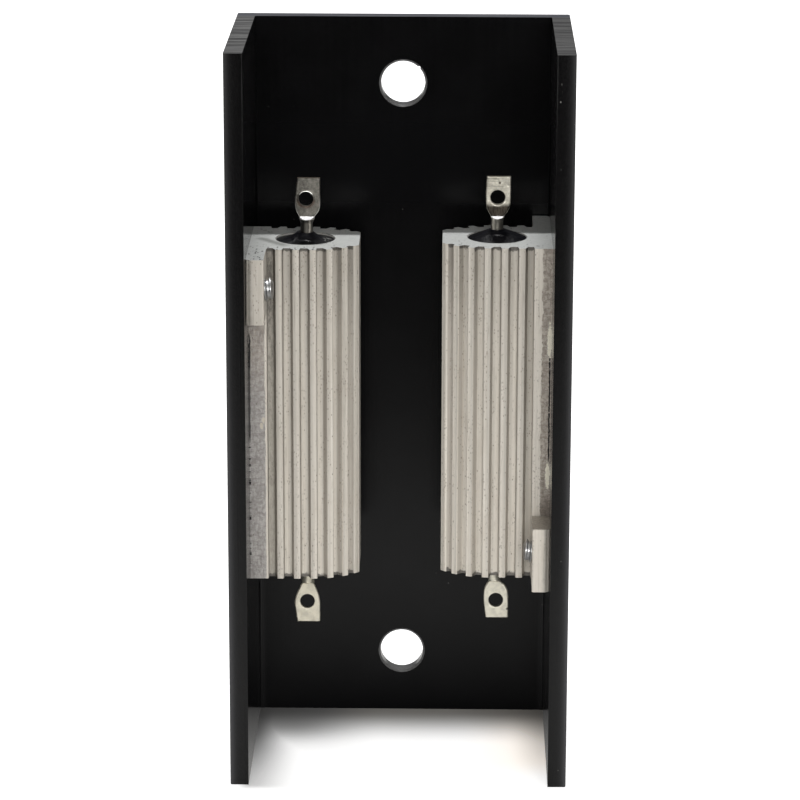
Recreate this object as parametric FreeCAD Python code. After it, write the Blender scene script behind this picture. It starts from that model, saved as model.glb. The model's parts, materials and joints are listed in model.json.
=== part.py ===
import FreeCAD, Part
import math
import os
from FreeCAD import Vector

# Ballast resistor: two ribbed power resistors screwed inside the flanges of a U-channel.
# Millimetres. X runs to the right, Y to the back, Z up. The channel stands on a sawn end and
# opens towards -Y. The origin is the centre of its footprint, on the surface it stands on.
# Each resistor is drawn as if it lay on the left flange, in its own frame: X out of its
# mounting face, Y across its base, Z along its bore from the lower end. The right one is
# the same part turned half a turn about Z.

# Channel
channel_width = 49.55
channel_depth = 35.5
channel_height = 109.2
channel_wall = 2.7
channel_outer_radius = 0.35
channel_inner_radius = 0.3
mount_hole_diameter = 6.6
mount_hole_spacing = 89.5
mount_hole_drop = 0.15
mount_hole_chamfer = 0.3
# A small nick in the rim of the upper hole, up and to the right as seen from the front
nick_radius = 0.24
nick_angle = 44.0

# Where the resistors sit
rear_gap = 0.6
left_drop = 0.8
right_drop = 0.4

# Resistor housing
body_length = 50.0
body_height = 16.0
body_width = 15.5
outer_face_width = 8.4
straight_flank = 8.9
base_width = 29.0
base_thickness = 2.6
base_edge_radius = 0.8
base_top_radius = 0.3
ear_length = 9.6
bore_diameter = 8.6
bore_height = 8.0
bore_chamfer = 0.1

# Ribs along the flanks, measured along the flank from the mounting face
first_rib = 4.45
rib_pitch = 2.5
rib_width = 0.95
rib_corner = 0.2
groove_depth = 1.1
groove_step = 0.12
groove_slant = 0.42
least_groove = 0.8
lip_width = 0.95
lip_groove_depth = 0.6

# Screws, one through each ear
screw_diameter = 3.5
screw_root_diameter = 2.7
screw_length = 6.5
screw_head_diameter = 6.9
screw_head_rim = 0.2
screw_tip_chamfer = 0.25
root_overlap = 0.2
screw_recess_width = 0.8
screw_recess_span = 3.6
screw_recess_depth = 1.0
head_below_face = 0.05
screw_hole_diameter = 3.8
ear_hole_across = 21.44
ear_hole_inset = 5.16
thread_clearance = 0.02
seat_clearance = 0.02

# Wound element
core_diameter = 5.2
element_inset = 4.65
wire_height = 0.36
turn_pitch = 1.0
cap_length = 4.6
cap_wall = 0.35
element_fit = 0.02
left_element_shift = 0.2
right_element_shift = 0.05

# Moulding that fills the bore
moulding_fit = 0.02
left_rim_recess = 0.27
right_rim_recess = 0.13
left_mound_height = 1.0
right_mound_height = 1.2
left_mound_swell = 0.36
right_mound_swell = 0.6
mound_middle = 0.42
mound_rim = 0.08

# Terminals: a round pin pressed flat into a blade with a hole, sizes from the housing's end
pin_diameter = 1.84
pin_flare = 0.55
shelf_slope = 0.5
blade_thickness = 0.7
blade_edge_radius = 0.2
blade_hole_height = 5.96
blade_hole_diameter = 2.2
blade_full_height = 6.4
blade_bulge_out = 0.6
root_follow = 0.3

# What differs from one terminal to the next: where the blade starts and ends, how wide it starts and
# gets, how soon its sides bulge out, and then in X as each one stands, from the pin's axis to the
# blade's middle and to its hole, and how far the blade's left side leans in towards the end
terminal_start = {
    "left_top": 3.35,
    "left_bottom": 3.22,
    "right_top": 3.15,
    "right_bottom": 3.1,
}
terminal_end = {
    "left_top": 9.05,
    "left_bottom": 9.15,
    "right_top": 9.03,
    "right_bottom": 8.7,
}
terminal_root = {
    "left_top": 2.3,
    "left_bottom": 1.9,
    "right_top": 1.95,
    "right_bottom": 1.9,
}
terminal_width = {
    "left_top": 3.66,
    "left_bottom": 3.88,
    "right_top": 3.66,
    "right_bottom": 3.72,
}
terminal_bulge = {
    "left_top": 0.2,
    "left_bottom": 0.42,
    "right_top": 0.25,
    "right_bottom": 0.2,
}
terminal_offset = {
    "left_top": 0.17,
    "left_bottom": -0.15,
    "right_top": 0.17,
    "right_bottom": 0.4,
}
terminal_hole_shift = {
    "left_top": -0.08,
    "left_bottom": -0.12,
    "right_top": 0.08,
    "right_bottom": 0.36,
}
terminal_lean = {
    "left_top": 0.3,
    "left_bottom": 0.4,
    "right_top": 0.13,
    "right_bottom": 0.32,
}

# Sizes that follow from the ones above
flange_face_x = channel_width / 2 - channel_wall
web_face_y = channel_depth / 2 - channel_wall
resistor_y = web_face_y - rear_gap - base_width / 2
half_body = body_width / 2
flank_rise = body_height - straight_flank
flank_pull_in = (body_width - outer_face_width) / 2
flank_radius = (flank_rise ** 2 + flank_pull_in ** 2) / (2 * flank_pull_in)
flank_turn = math.atan2(flank_rise, flank_radius - flank_pull_in)
flank_length = straight_flank + flank_radius * flank_turn
bore_radius = bore_diameter / 2
moulding_radius = bore_radius - moulding_fit
core_radius = core_diameter / 2
winding_inner = core_radius + element_fit
winding_outer = winding_inner + wire_height
cap_inner = core_radius + element_fit
cap_outer = cap_inner + cap_wall
element_start = element_inset
core_length = body_length - 2 * (element_inset + cap_wall)
screw_radius = screw_diameter / 2
head_radius = screw_head_diameter / 2
pin_radius = pin_diameter / 2
element_shift = {"left": left_element_shift, "right": right_element_shift}
rim_recess = {"left": left_rim_recess, "right": right_rim_recess}
mound_height = {"left": left_mound_height, "right": right_mound_height}
mound_swell = {"left": left_mound_swell, "right": right_mound_swell}

x_axis = Vector(1, 0, 0)
y_axis = Vector(0, 1, 0)
z_axis = Vector(0, 0, 1)


def place(shape, side):
    """Move a shape from a resistor's own frame to its seat on the left or right flange."""
    placed = shape.copy()
    drop = left_drop
    x = -flange_face_x
    if side == "right":
        placed.rotate(Vector(0, 0, 0), z_axis, 180)
        drop = right_drop
        x = flange_face_x
    bottom = (channel_height - body_length) / 2 - drop
    placed.translate(Vector(x, resistor_y, bottom))
    return placed


def ear_holes():
    """Centres of the two ear holes in a resistor's own frame, on its mounting face."""
    front_top = Vector(0, -ear_hole_across / 2, body_length - ear_hole_inset)
    rear_bottom = Vector(0, ear_hole_across / 2, ear_hole_inset)
    return {"top": front_top, "bottom": rear_bottom}


def outline_wire(pieces):
    """Closed wire from lines, given as two points, and arcs, given as three."""
    edges = []
    for piece in pieces:
        if len(piece) == 2:
            edges.append(Part.LineSegment(*piece).toShape())
        else:
            edges.append(Part.Arc(*piece).toShape())
    return Part.Wire(edges)


def turned(points):
    """Solid of revolution about Z from points given as radius and height."""
    corners = [Vector(r, 0, z) for r, z in points]
    face = Part.Face(Part.makePolygon(corners + corners[:1]))
    return face.revolve(Vector(0, 0, 0), z_axis, 360)


def rounded_bar(width, depth, height, radius):
    """Upright bar centred on Z with its four long edges rounded."""
    bar = Part.makeBox(width, depth, height, Vector(-width / 2, -depth / 2, 0))
    upright = [e for e in bar.Edges if abs(e.tangentAt(e.FirstParameter).z) > 0.99]
    return bar.makeFillet(radius, upright)


def screw_hole():
    """Cutter for one countersunk flange hole, along X from the flange's outer face."""
    sink = head_radius + seat_clearance
    rim_depth = head_below_face + screw_head_rim
    hole = screw_hole_diameter / 2
    cutter = turned([
        (0, 0),
        (sink, 0),
        (sink, rim_depth),
        (hole, rim_depth + sink - hole),
        (hole, 2 * channel_wall),
        (0, 2 * channel_wall),
    ])
    cutter.rotate(Vector(0, 0, 0), y_axis, 90)
    cutter.translate(Vector(-channel_wall, 0, 0))
    return cutter


def mount_hole():
    """Cutter for one web hole, along Y, with both rims deburred."""
    hole = mount_hole_diameter / 2
    rim = hole + mount_hole_chamfer
    cutter = turned([
        (0, 0),
        (rim, 0),
        (hole, mount_hole_chamfer),
        (hole, channel_wall - mount_hole_chamfer),
        (rim, channel_wall),
        (0, channel_wall),
    ])
    cutter.rotate(Vector(0, 0, 0), x_axis, -90)
    cutter.translate(Vector(0, web_face_y, 0))
    return cutter


def make_channel():
    outer = rounded_bar(channel_width, channel_depth, channel_height, channel_outer_radius)
    # The hollow is a bar that reaches past the open front, so only its rear edges show
    hollow = rounded_bar(2 * flange_face_x, 2 * channel_depth, channel_height, channel_inner_radius)
    hollow.translate(Vector(0, web_face_y - channel_depth, 0))
    channel = outer.cut(hollow)
    for side in ("left", "right"):
        for centre in ear_holes().values():
            cutter = screw_hole()
            cutter.translate(centre)
            channel = channel.cut(place(cutter, side))
    middle = channel_height / 2 - mount_hole_drop
    for offset in (-mount_hole_spacing / 2, mount_hole_spacing / 2):
        cutter = mount_hole()
        cutter.translate(Vector(0, 0, middle + offset))
        channel = channel.cut(cutter)
    hole_radius = mount_hole_diameter / 2
    nick_x = hole_radius * math.cos(math.radians(nick_angle))
    nick_z = hole_radius * math.sin(math.radians(nick_angle))
    nick_at = Vector(nick_x, 0, middle + mount_hole_spacing / 2 + nick_z)
    return channel.cut(Part.makeCylinder(nick_radius, channel_depth, nick_at, y_axis))


def flank(along, inset, side):
    """Point of the section: so far along a flank, so far in from it, on side +1 or -1."""
    if along <= straight_flank:
        return Vector(along, side * (half_body - inset), 0)
    turn = (along - straight_flank) / flank_radius
    reach = flank_radius - inset
    x = straight_flank + reach * math.sin(turn)
    y = half_body - flank_radius + reach * math.cos(turn)
    return Vector(x, side * y, 0)


def groove(start, end, depth, side):
    """Steep wall, floor and slanted wall of the groove between two ribs."""
    foot = flank(start + groove_step, depth, side)
    heel = flank(end - groove_slant, depth, side)
    return foot, heel, flank(end, 0, side)


def flank_pieces(side):
    """The ribbed outline of one flank, from the base's edge to the outer face."""
    pieces = []
    here = flank(base_thickness, 0, side)
    edge = base_thickness
    start_radius = 0
    rib = first_rib
    while rib + rib_width / 2 + least_groove <= flank_length - lip_width:
        foot, heel, crest = groove(edge, rib - rib_width / 2, groove_depth, side)
        edge = rib + rib_width / 2
        shoulder = flank(edge - rib_corner, 0, side)
        bend = rib_corner * (1 - math.sqrt(0.5))
        bent = flank(edge - bend, bend, side)
        corner = flank(edge, rib_corner, side)
        pieces += [(here, foot), (foot, heel), (heel, crest), (crest, shoulder)]
        pieces.append((shoulder, bent, corner))
        here = corner
        rib += rib_pitch
    lip = flank_length - lip_width
    foot, heel, crest = groove(edge, lip, lip_groove_depth, side)
    middle = flank(lip + lip_width / 2, 0, side)
    pieces += [(here, foot), (foot, heel), (heel, crest)]
    pieces.append((crest, middle, flank(flank_length, 0, side)))
    return pieces


def reversed_pieces(pieces):
    return [tuple(reversed(piece)) for piece in reversed(pieces)]


def make_ear(side, z):
    """One ear left on the base, its long edges rounded, most at the mounting face."""
    half = base_width / 2
    root = half_body / 2
    low = base_edge_radius
    high = base_top_radius
    low_bend = low * (1 - math.sqrt(0.5))
    high_bend = high * (1 - math.sqrt(0.5))
    top = base_thickness
    low_arc = (
        Vector(0, side * (half - low), 0),
        Vector(low_bend, side * (half - low_bend), 0),
        Vector(low, side * half, 0),
    )
    high_arc = (
        Vector(top - high, side * half, 0),
        Vector(top - high_bend, side * (half - high_bend), 0),
        Vector(top, side * (half - high), 0),
    )
    pieces = [
        (Vector(0, side * root, 0), low_arc[0]),
        low_arc,
        (low_arc[2], high_arc[0]),
        high_arc,
        (high_arc[2], Vector(top, side * root, 0)),
        (Vector(top, side * root, 0), Vector(0, side * root, 0)),
    ]
    ear = Part.Face(outline_wire(pieces)).extrude(Vector(0, 0, ear_length))
    ear.translate(Vector(0, 0, z))
    return ear


def make_housing():
    front = flank_pieces(-1)
    rear = flank_pieces(1)
    outer_face = [(front[-1][-1], rear[-1][-1])]
    front_foot = Vector(0, -half_body, 0)
    rear_foot = Vector(0, half_body, 0)
    base = [(rear[0][0], rear_foot), (rear_foot, front_foot), (front_foot, front[0][0])]
    loop = front + outer_face + reversed_pieces(rear) + base
    housing = Part.Face(outline_wire(loop)).extrude(Vector(0, 0, body_length))
    housing = housing.fuse([make_ear(-1, body_length - ear_length), make_ear(1, 0)])
    housing = housing.removeSplitter()
    rim = bore_radius + bore_chamfer
    bore = turned([
        (0, 0),
        (rim, 0),
        (bore_radius, bore_chamfer),
        (bore_radius, body_length - bore_chamfer),
        (rim, body_length),
        (0, body_length),
    ])
    bore.translate(Vector(bore_height, 0, 0))
    housing = housing.cut(bore)
    for centre in ear_holes().values():
        tapped = Part.makeCylinder(screw_radius + thread_clearance, base_thickness, centre, x_axis)
        housing = housing.cut(tapped)
    return housing


def make_screw(centre):
    """Countersunk screw with a cross recess, flush in the flange. Its free end, proud of the ear, is
    drawn at the root of its thread."""
    top = head_below_face
    ear_top = channel_wall + base_thickness - root_overlap
    root_radius = screw_root_diameter / 2
    cone = top + screw_head_rim + head_radius - screw_radius
    screw = turned([
        (0, top),
        (head_radius, top),
        (head_radius, top + screw_head_rim),
        (screw_radius, cone),
        (screw_radius, ear_top - screw_radius + root_radius),
        (root_radius, ear_top),
        (root_radius, screw_length - screw_tip_chamfer),
        (root_radius - screw_tip_chamfer, screw_length),
        (0, screw_length),
    ])
    depth = top + screw_recess_depth
    for width, span in ((screw_recess_width, screw_recess_span), (screw_recess_span, screw_recess_width)):
        slot = Part.makeBox(width, span, depth, Vector(-width / 2, -span / 2, 0))
        screw = screw.cut(slot)
    screw.rotate(Vector(0, 0, 0), y_axis, 90)
    screw.translate(Vector(-channel_wall, 0, 0) + centre)
    return screw


def make_core():
    return Part.makeCylinder(core_radius, core_length, Vector(0, 0, element_start + cap_wall))


def make_winding():
    """One layer of wire between the caps, its turns as ridges of one sleeve."""
    start = element_start + cap_wall + cap_length
    length = core_length - 2 * cap_length
    turns = max(1, round(length / turn_pitch))
    pitch = length / turns
    valley = winding_inner + wire_height / 3
    points = [(winding_inner, start), (valley, start)]
    for turn in range(turns):
        points.append((winding_outer, start + (turn + 0.5) * pitch))
        points.append((valley, start + (turn + 1) * pitch))
    points.append((winding_inner, start + length))
    return turned(points)


def make_cap():
    """Lower end cap: a cup over the end of the core."""
    floor = element_start
    return turned([
        (0, floor),
        (cap_outer, floor),
        (cap_outer, floor + cap_wall + cap_length),
        (cap_inner, floor + cap_wall + cap_length),
        (cap_inner, floor + cap_wall),
        (0, floor + cap_wall),
    ])


def upside_down(shape):
    """Turn a piece of one end over to the other end of the housing."""
    other = shape.copy()
    other.rotate(Vector(0, 0, body_length / 2), y_axis, 180)
    return other


def mound_profile(side):
    """Upper end of the moulding in X and Z: from its edge, sunk in the bore, up to the pin."""
    recess = rim_recess[side]
    height = mound_height[side]
    crest = pin_radius + element_fit + abs(element_shift[side]) + mound_rim
    middle = crest + mound_middle * (moulding_radius - crest)
    swell = mound_swell[side] * (height + recess) - recess
    return [
        (Vector(moulding_radius, 0, -recess), Vector(middle, 0, swell), Vector(crest, 0, height)),
        (Vector(crest, 0, height), Vector(0, 0, height)),
    ]


def make_moulding(side):
    """Filling of the bore, mounded at both ends, with the cavity of the wound element."""
    shift = element_shift[side]
    height = mound_height[side]
    upper = mound_profile(side)
    lower = []
    for piece in upper:
        lower.append(tuple(Vector(v.x, 0, -v.z) for v in piece))
    raised = []
    for piece in upper:
        raised.append(tuple(v + Vector(0, 0, body_length) for v in piece))
    wall = (lower[0][0], raised[0][0])
    axis = (raised[-1][-1], lower[-1][-1])
    pieces = reversed_pieces(lower) + [wall] + raised + [axis]
    profile = Part.Face(outline_wire(pieces))
    moulding = profile.revolve(Vector(0, 0, 0), z_axis, 360)
    cap_total = cap_wall + cap_length
    far_cap = body_length - element_start - cap_total
    cavity = [
        (pin_radius + element_fit, -height, body_length + 2 * height),
        (winding_outer + element_fit, element_start + cap_total, far_cap - element_start - cap_total),
        (cap_outer + element_fit, element_start, cap_total),
        (cap_outer + element_fit, far_cap, cap_total),
    ]
    for radius, start, length in cavity:
        moulding = moulding.cut(Part.makeCylinder(radius, length, Vector(shift, 0, start)))
    return moulding


def bulging_side(root, full, along):
    """Side of the blade, from its root out to its full width, where it has turned to run along Z."""
    bulge_x = root.x + blade_bulge_out * (full.x - root.x)
    bulge_z = root.z + along * (full.z - root.z)
    curve = Part.BSplineCurve()
    leave = Vector(bulge_x - root.x, 0, bulge_z - root.z)
    curve.interpolate(Points=[root, Vector(bulge_x, 0, bulge_z), full], InitialTangent=leave, FinalTangent=z_axis)
    return curve.toShape()


def blade_face(key, turn):
    """Outline of the blade in X and Z, filled: sides that bulge out to their full width, and a square
    end. Its left side, as it stands, leans in towards the end."""
    start = terminal_start[key]
    end = terminal_end[key]
    middle = turn * terminal_offset[key]
    half = terminal_width[key] / 2
    edges = []
    ends = []
    for side in (-1, 1):
        lean = terminal_lean[key] if side == -turn else 0
        root = Vector(root_follow * middle + side * terminal_root[key] / 2, 0, start)
        full = Vector(middle + side * half, 0, blade_full_height)
        tip = Vector(middle + side * (half - lean), 0, end)
        edges.append(bulging_side(root, full, terminal_bulge[key]))
        edges.append(Part.LineSegment(full, tip).toShape())
        ends.append((root, tip))
    for left, right in zip(*ends):
        edges.append(Part.LineSegment(left, right).toShape())
    return Part.Face(Part.Wire(Part.__sortEdges__(edges)))


def make_shoulder(start, width, offset):
    """The pin flares up to the blade's width and is cut off on a slant to the blade's two faces."""
    half = blade_thickness / 2
    low = start - shelf_slope * (width / 2 - half)
    flare = Part.makeLoft([
        Part.Wire(Part.makeCircle(pin_radius, Vector(0, 0, low - pin_flare), z_axis)),
        Part.Wire(Part.makeCircle(width / 2, Vector(offset, 0, low), z_axis)),
        Part.Wire(Part.makeCircle(width / 2, Vector(offset, 0, start), z_axis)),
    ], True, True)
    below = low - 2 * pin_flare
    wedge = Part.Face(Part.makePolygon([
        Vector(0, -width / 2, below),
        Vector(0, width / 2, below),
        Vector(0, width / 2, low),
        Vector(0, half, start),
        Vector(0, -half, start),
        Vector(0, -width / 2, low),
        Vector(0, -width / 2, below),
    ])).extrude(Vector(4 * width, 0, 0))
    wedge.translate(Vector(-2 * width, 0, 0))
    return flare.common(wedge)


def make_terminal(key, turn):
    """Upper terminal about Z, its heights from the housing's end: pin, shoulder and blade. turn is -1
    where it is later turned so that its +X side comes to stand on the left."""
    start = terminal_start[key]
    width = terminal_root[key]
    pin_start = -element_start
    pin_end = start - shelf_slope * (width - blade_thickness) / 2 - pin_flare
    pin = Part.makeCylinder(pin_radius, pin_end - pin_start, Vector(0, 0, pin_start))
    blade = blade_face(key, turn).extrude(Vector(0, blade_thickness, 0))
    blade.translate(Vector(0, -blade_thickness / 2, 0))
    radius = min(blade_edge_radius, 0.4 * blade_thickness)
    blade = blade.makeFillet(radius, [e for e in blade.Edges if is_side(e)])
    shoulder = make_shoulder(start, width, root_follow * turn * terminal_offset[key])
    terminal = blade.fuse([shoulder, pin]).removeSplitter()
    hole_at = Vector(turn * terminal_hole_shift[key], -blade_thickness, blade_hole_height)
    hole = Part.makeCylinder(blade_hole_diameter / 2, 2 * blade_thickness, hole_at, y_axis)
    return terminal.cut(hole)


def is_side(edge):
    """True for the edges along the blade's two flat faces, which pressing has rounded. The sheared end
    and the root stay square."""
    first = edge.valueAt(edge.FirstParameter)
    last = edge.valueAt(edge.LastParameter)
    return abs(first.z - last.z) > blade_thickness


def export(shape, node):
    """Write one node, whose shape is one closed solid."""
    solid = shape.Solids[0] if len(shape.Solids) == 1 else shape
    solid.exportStep("parts/" + node + ".step")
    print(node, len(shape.Solids), shape.isValid(), round(shape.Volume, 2))


def make_resistor(side):
    along_bore = Vector(bore_height, 0, 0)
    along_element = Vector(bore_height + element_shift[side], 0, 0)
    export(place(make_housing(), side), side + "_housing")
    moulding = make_moulding(side)
    moulding.translate(along_bore)
    export(place(moulding, side), side + "_moulding")
    for name, shape in (("core", make_core()), ("winding", make_winding())):
        shape.translate(along_element)
        export(place(shape, side), side + "_" + name)
    # A half turn about Z, or end for end, swaps left and right as the terminal stands
    for end in ("top", "bottom"):
        key = side + "_" + end
        turn = 1 if key in ("left_top", "right_bottom") else -1
        cap = make_cap()
        terminal = make_terminal(key, turn)
        terminal.translate(Vector(0, 0, body_length))
        if end == "top":
            cap = upside_down(cap)
        else:
            terminal = upside_down(terminal)
        for name, shape in (("cap", cap), ("terminal", terminal)):
            shape.translate(along_element)
            export(place(shape, side), key + "_" + name)
    # The ear at the left unit's top is the front one; half a turn puts the right unit's at the rear
    holes = ear_holes()
    position = {"top": "front", "bottom": "rear"}
    if side == "right":
        position = {"top": "rear", "bottom": "front"}
    for end, centre in holes.items():
        export(place(make_screw(centre), side), side + "_" + position[end] + "_screw")


os.makedirs("parts", exist_ok=True)
export(make_channel(), "channel")
for resistor_side in ("left", "right"):
    make_resistor(resistor_side)
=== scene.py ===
import json
import math

import bmesh
import bpy
from mathutils import Euler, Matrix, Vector


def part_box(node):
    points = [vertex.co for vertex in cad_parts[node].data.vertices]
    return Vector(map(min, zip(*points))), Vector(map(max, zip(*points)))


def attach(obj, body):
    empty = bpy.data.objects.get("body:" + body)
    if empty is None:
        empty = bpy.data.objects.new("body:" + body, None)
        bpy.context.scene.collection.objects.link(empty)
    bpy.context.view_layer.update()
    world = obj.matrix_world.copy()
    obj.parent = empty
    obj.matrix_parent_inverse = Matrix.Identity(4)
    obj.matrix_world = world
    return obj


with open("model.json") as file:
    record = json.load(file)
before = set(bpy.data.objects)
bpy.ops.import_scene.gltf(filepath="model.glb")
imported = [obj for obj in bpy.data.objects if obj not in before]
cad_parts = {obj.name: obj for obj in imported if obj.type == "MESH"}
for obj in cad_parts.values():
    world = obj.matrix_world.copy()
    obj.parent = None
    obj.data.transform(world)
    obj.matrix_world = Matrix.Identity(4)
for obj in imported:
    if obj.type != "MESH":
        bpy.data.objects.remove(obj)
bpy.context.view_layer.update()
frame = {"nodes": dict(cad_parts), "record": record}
nodes = frame["nodes"]
scene = bpy.context.scene
MM = 0.001

# The channel and the resistor housings in millimetres, as in the part's source
channel_wall = 2.7
flank_straight = 8.9
flank_radius = 8.875
half_body = 7.75
base_thickness = 2.6
bore_height = 8.0
bore_radius = 4.3
body_length = 50.0
half_length = body_length / 2
first_rib = 4.45
rib_pitch = 2.5
rib_width = 0.95

# The thread ridges on the screws' free ends, in millimetres
thread_root = 1.35
thread_crest = 1.74
thread_pitch = 0.79
thread_length = 1.34
thread_start = 1.42
thread_sink = 0.06
thread_foot = 0.36 * thread_pitch
thread_flat = 0.07
thread_steps = 72
fade_in = 0.12 * thread_steps
fade_out = 0.3 * thread_steps

# Each terminal's tint, and the offset that makes its noise its own
terminal_looks = {
    "left_top_terminal": ((0.74, 0.71, 0.63), (7.0, 3.0, 1.0)),
    "left_bottom_terminal": ((0.90, 0.85, 0.70), (1.0, 9.0, 4.0)),
    "right_top_terminal": ((0.97, 0.93, 0.80), (5.0, 2.0, 8.0)),
    "right_bottom_terminal": ((0.97, 0.93, 0.79), (3.0, 6.0, 2.0)),
}

# The camera as solved from the photo: focal length and picture width in pixels
focal_pixels = 3578.04
picture_pixels = 800.0
sensor_mm = 36.0


def grey(level):
    return (level, level, level)


def opaque(rgb):
    return (rgb[0], rgb[1], rgb[2], 1.0)


def fill_ramp(ramp, stops):
    """Sets a colour ramp's elements from (place, rgb) pairs in order."""
    while len(ramp.elements) < len(stops):
        ramp.elements.new(0.5)
    for element, (place, rgb) in zip(ramp.elements, stops):
        element.position = place
        element.color = opaque(rgb)


class Shader:
    """A new material, with short ways to add its nodes. Lengths inside are millimetres."""

    def __init__(self, name):
        self.material = bpy.data.materials.new(name)
        self.material.use_nodes = True
        self.tree = self.material.node_tree
        self.tree.nodes.clear()
        self.bsdf = self.add("ShaderNodeBsdfPrincipled")
        output = self.add("ShaderNodeOutputMaterial")
        self.tree.links.new(self.bsdf.outputs[0], output.inputs["Surface"])
        self.point = self.scaled(self.add("ShaderNodeTexCoord").outputs["Object"], 1 / MM)
        self.normal = self.add("ShaderNodeNewGeometry").outputs["Normal"]

    def add(self, kind, **settings):
        made = self.tree.nodes.new(kind)
        for key, value in settings.items():
            setattr(made, key, value)
        return made

    def feed(self, socket, value):
        if isinstance(value, bpy.types.NodeSocket):
            self.tree.links.new(value, socket)
        else:
            socket.default_value = value

    def set(self, **values):
        """Sets the surface's own sockets, each by its name with spaces as underscores."""
        for key, value in values.items():
            self.feed(self.bsdf.inputs[key.replace("_", " ")], value)

    def math(self, operation, a, b=0.0):
        made = self.add("ShaderNodeMath", operation=operation)
        self.feed(made.inputs[0], a)
        self.feed(made.inputs[1], b)
        return made.outputs[0]

    def plus(self, a, b):
        return self.math("ADD", a, b)

    def minus(self, a, b):
        return self.math("SUBTRACT", a, b)

    def divided(self, a, b):
        return self.math("DIVIDE", a, b)

    def larger(self, a, b):
        return self.math("MAXIMUM", a, b)

    def absolute(self, value):
        return self.math("ABSOLUTE", value)

    def product(self, *factors):
        last = factors[0]
        for factor in factors[1:]:
            last = self.math("MULTIPLY", last, factor)
        return last

    def length(self, a, b):
        """The length of the vector (a, b)."""
        return self.math("SQRT", self.plus(self.product(a, a), self.product(b, b)))

    def scaled(self, vector, factors):
        made = self.add("ShaderNodeVectorMath", operation="MULTIPLY")
        self.feed(made.inputs[0], vector)
        made.inputs[1].default_value = grey(factors) if isinstance(factors, float) else factors
        return made.outputs[0]

    def moved(self, vector, offset):
        made = self.add("ShaderNodeVectorMath", operation="ADD")
        self.feed(made.inputs[0], vector)
        self.feed(made.inputs[1], offset)
        return made.outputs[0]

    def parts(self, vector):
        made = self.add("ShaderNodeSeparateXYZ")
        self.feed(made.inputs[0], vector)
        return made.outputs

    def noise(self, vector, scale, detail=2.0, roughness=0.5, distortion=0.0):
        """A noise from 0 to 1. Its scale is one number, or three that stretch it."""
        if isinstance(scale, tuple):
            vector = self.scaled(vector, scale)
            scale = 1.0
        made = self.add("ShaderNodeTexNoise")
        self.feed(made.inputs["Vector"], vector)
        made.inputs["Scale"].default_value = scale
        made.inputs["Detail"].default_value = detail
        made.inputs["Roughness"].default_value = roughness
        made.inputs["Distortion"].default_value = distortion
        return made.outputs["Fac"]

    def cells(self, vector, scale):
        """Each cell's distance from its centre, and its random colour."""
        made = self.add("ShaderNodeTexVoronoi", feature="F1")
        self.feed(made.inputs["Vector"], vector)
        made.inputs["Scale"].default_value = scale
        made.inputs["Randomness"].default_value = 1.0
        return made.outputs["Distance"], made.outputs["Color"]

    def spots(self, vector, scale, edge, share, part=0):
        """Round spots with a soft edge. Only cells whose colour part lies past share have one."""
        distance, random = self.cells(vector, scale)
        return self.product(self.fall(distance, *edge), self.ramp(self.parts(random)[part], *share))

    def ramp(self, value, low, high, to_low=0.0, to_high=1.0, smooth=True):
        """From to_low at low to to_high at high, and level past them. Low may lie above high."""
        kind = "SMOOTHSTEP" if smooth else "LINEAR"
        made = self.add("ShaderNodeMapRange", interpolation_type=kind)
        self.feed(made.inputs["Value"], value)
        ends = (("From Min", low), ("From Max", high), ("To Min", to_low), ("To Max", to_high))
        for name, number in ends:
            self.feed(made.inputs[name], number)
        return made.outputs[0]

    def fall(self, value, low, high):
        """From 1 at low to 0 at high."""
        return self.ramp(value, low, high, 1.0, 0.0)

    def between(self, value, low, full, past, high):
        """1 from full to past, 0 outside low and high."""
        return self.product(self.ramp(value, low, full), self.fall(value, past, high))

    def stops(self, value, pairs):
        """A grey level that runs through (place, level) pairs, places from 0 to 1 in order."""
        made = self.add("ShaderNodeValToRGB")
        self.feed(made.inputs[0], value)
        fill_ramp(made.color_ramp, [(place, grey(level)) for place, level in pairs])
        return made.outputs["Color"]

    def mix(self, factor, a, b, blend="MIX"):
        made = self.add("ShaderNodeMix", data_type="RGBA", blend_type=blend)
        self.feed(made.inputs[0], factor)
        for socket, value in ((made.inputs[6], a), (made.inputs[7], b)):
            self.feed(socket, opaque(value) if isinstance(value, tuple) else value)
        return made.outputs[2]

    def lay(self, base, paint, *factors):
        """Paint over the base, as far as the product of the factors says."""
        return self.mix(self.product(*factors), base, paint)

    def darken(self, base, level, factor):
        """The base times the level, where the factor says."""
        return self.mix(factor, base, self.mix(1.0, base, level, "MULTIPLY"))

    def bump(self, *layers):
        """Chains bumps from (height, strength, distance in millimetres) and feeds the surface."""
        last = None
        for height, strength, distance in layers:
            made = self.add("ShaderNodeBump")
            made.inputs["Strength"].default_value = strength
            made.inputs["Distance"].default_value = distance * MM
            self.feed(made.inputs["Height"], height)
            if last is not None:
                self.feed(made.inputs["Normal"], last)
            last = made.outputs[0]
        self.feed(self.bsdf.inputs["Normal"], last)


def own_frame(shader, side):
    """Millimetres in a resistor's own frame: out from its flange, across its base, up from its lower end."""
    low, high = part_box(side + "_housing")
    middle = (low.y + high.y) / 2
    turn = 1.0 if side == "left" else -1.0
    face = low.x if side == "left" else high.x
    turned = shader.scaled(shader.point, (turn, turn, 1.0))
    offset = Vector((-turn * face, -turn * middle, -low.z)) / MM
    return shader.moved(turned, offset)


def mount_point(name):
    """A mount's place in millimetres, and its sizes."""
    mount = next(m for m in frame["record"]["mounts"] if m["name"] == name)
    return Vector(mount["pos_m"]) / MM, mount["dims"]


def wear(node, shader):
    """Gives a CAD node the shader's material on every face."""
    for slot in nodes[node].material_slots:
        slot.material = shader.material


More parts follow.
